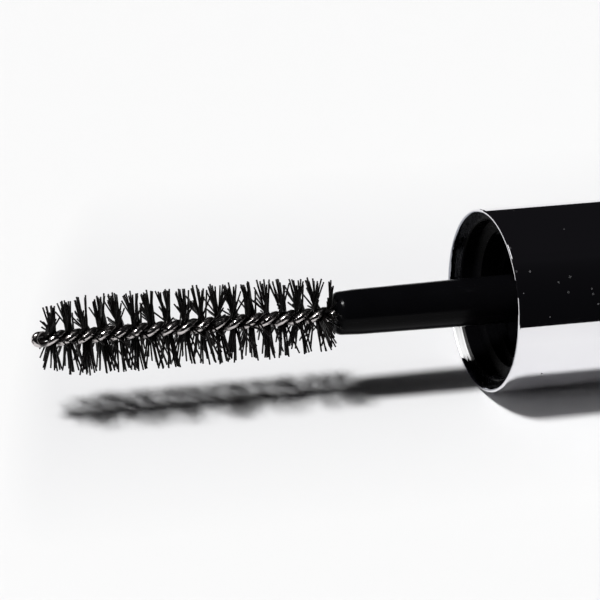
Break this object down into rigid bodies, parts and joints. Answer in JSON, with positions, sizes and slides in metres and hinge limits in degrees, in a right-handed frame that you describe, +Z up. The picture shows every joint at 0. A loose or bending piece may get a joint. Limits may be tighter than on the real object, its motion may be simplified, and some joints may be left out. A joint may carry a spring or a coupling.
{
  "type": "mascara",
  "caption": "Slim round mascara: a tube with a screw neck and soft wiper, and a bright metal cap that holds a black stem and a twisted-wire brush, drawn out along the tube's axis.",
  "frame": {"origin": "centre of the bottom of the bounding box: on the surface that the mascara lies on, below the shared axis of tube and applicator", "axes": "+X runs along the shared axis, from the tube's base to the cap's closed end; +Z is up"},
  "size_m": [0.1496, 0.0156, 0.0157],
  "materials": {
    "bright_metal": "mirror polished",
    "black_gloss": "gloss",
    "black_satin": "satin",
    "soft_black": "matt",
    "seal_foam": "matt",
    "wire_steel": "drawn",
    "bristle_nylon": "satin"
  },
  "bodies": {
    "tube": {"tube_sleeve": "bright_metal", "tube_base_plug": "bright_metal", "tube_bottle": "black_satin", "tube_collar": "bright_metal", "wiper": "soft_black"},
    "seal": {"seal_washer": "seal_foam"},
    "applicator": {"cap_shell": "bright_metal", "cap_end_plug": "bright_metal", "cap_liner": "black_satin", "stem": "black_gloss", "brush_wire": "wire_steel", "brush_bristles": "bristle_nylon"}
  },
  "joints": [
    {"name": "applicator_pull", "type": "slide", "parent": "tube", "child": "seal", "axis": [1, 0, 0], "range_m": [-0.0614, 0], "deforming": ["brush_bristles"]},
    {"name": "cap_turn", "type": "hinge", "parent": "seal", "child": "applicator", "pos_m": [0.0328, 0, 0.00785], "axis": [1, 0, 0], "range_deg": [-360, 0]}
  ]
}
